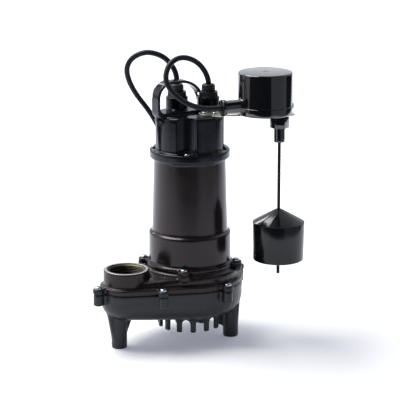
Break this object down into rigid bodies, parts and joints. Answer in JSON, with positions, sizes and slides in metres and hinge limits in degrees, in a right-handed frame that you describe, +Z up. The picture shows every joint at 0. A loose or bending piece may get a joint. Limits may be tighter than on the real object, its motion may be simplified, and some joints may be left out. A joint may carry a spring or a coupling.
{
  "type": "submersible sump pump",
  "caption": "Submersible sump pump with a cast volute base on three feet, a tall motor with a carry handle, and a vertical float switch on a side bracket.",
  "frame": {"origin": "centre of the object's footprint on the floor, at the feet's undersides", "axes": "+Z up along the motor axis, -X towards the discharge, -Y towards the float switch"},
  "size_m": [0.2782, 0.3382, 0.3654],
  "materials": {
    "cast_base": "satin black painted casting",
    "cast_motor": "satin dark grey painted casting",
    "cap_paint": "satin black painted casting",
    "gasket": "matte rubber",
    "screw_zinc": "bright zinc plate",
    "lamination": "stacked electrical steel",
    "winding": "enamelled copper wire",
    "rotor_steel": "ground rotor surface",
    "shaft_steel": "ground stainless steel",
    "bearing_steel": "polished bearing steel",
    "shield_alloy": "die-cast",
    "seal_ceramic": "glazed ceramic",
    "seal_rubber": "matte bellows rubber",
    "impeller_iron": "bare casting",
    "capacitor_can": "drawn can",
    "protector": "matte",
    "gland_plastic": "satin moulding",
    "sleeve_rubber": "matte rubber",
    "cord_jacket": "satin jacket",
    "plug_body": "satin moulding",
    "blade_brass": "bright brass",
    "bracket_steel": "rolled stainless steel",
    "switch_plastic": "gloss black moulding",
    "stand_nylon": "natural nylon",
    "rocker_acetal": "natural acetal",
    "microswitch_case": "phenolic moulding",
    "rod_coated": "dark oxidised rod",
    "float_plastic": "gloss black moulding"
  },
  "bodies": {
    "pump": {"base_volute": "cast_base", "base_gasket": "gasket", "volute_cover": "cast_motor", "cover_screws": "screw_zinc", "motor_gasket": "gasket", "motor_housing": "cast_motor", "housing_screws": "screw_zinc", "stator_core": "lamination", "stator_windings": "winding", "lower_bearing_outer": "bearing_steel", "upper_bearing_outer": "bearing_steel", "bearing_shield": "shield_alloy", "shield_ring": "shaft_steel", "seal_seat": "seal_ceramic", "run_capacitor": "capacitor_can", "overload_protector": "protector", "motor_cap": "cap_paint", "cap_gasket": "gasket", "cap_screws": "screw_zinc", "power_gland_nut": "gland_plastic", "power_strain_relief": "sleeve_rubber", "switch_gland_nut": "gland_plastic", "switch_strain_relief": "sleeve_rubber", "power_cord": "cord_jacket", "power_cord_coil": "cord_jacket", "power_cord_tail": "cord_jacket", "power_plug": "plug_body", "plug_blades": "blade_brass", "switch_cord": "cord_jacket", "switch_bracket": "bracket_steel", "bracket_screws": "screw_zinc", "switch_housing": "switch_plastic", "switch_base": "switch_plastic", "neck_grommet": "sleeve_rubber", "rod_guide": "switch_plastic", "rocker_stand": "stand_nylon", "rocker_pin": "shaft_steel", "microswitch": "microswitch_case"},
    "impeller_shaft": {"shaft": "shaft_steel", "rotor": "rotor_steel", "lower_bearing_inner": "bearing_steel", "upper_bearing_inner": "bearing_steel", "seal_head": "seal_rubber", "impeller": "impeller_iron", "impeller_nut": "screw_zinc"},
    "rocker_arm": {"rocker": "rocker_acetal"},
    "plunger": {"microswitch_plunger": "rocker_acetal"},
    "rod": {"float_rod": "rod_coated", "rod_sleeve": "switch_plastic", "rod_clip": "screw_zinc"},
    "float": {"float_cup": "float_plastic", "float_cone": "float_plastic"}
  },
  "joints": [
    {"name": "shaft_spin", "type": "hinge", "parent": "pump", "child": "impeller_shaft", "pos_m": [0.011, 0.013, 0.12], "axis": [0, 0, 1], "continuous": true},
    {"name": "rod_lift", "type": "slide", "parent": "pump", "child": "rod", "axis": [0, 0, 1], "range_m": [0, 0.008]},
    {"name": "float_slide", "type": "slide", "parent": "rod", "child": "float", "axis": [0, 0, 1], "range_m": [0, 0.0856]},
    {"name": "rocker_turn", "type": "hinge", "parent": "pump", "child": "rocker_arm", "pos_m": [0.0827, -0.05206, 0.3114], "axis": [-0.5299, -0.848, 0], "range_deg": [0, 29.06]},
    {"name": "plunger_press", "type": "slide", "parent": "pump", "child": "plunger", "axis": [0, 0, -1], "range_m": [0, 0.0021]}
  ],
  "couplings": [
    {"joint": "rocker_turn", "follows": "rod_lift", "rad_per_m": 63.17},
    {"joint": "plunger_press", "follows": "rod_lift", "ratio": 0.25}
  ]
}
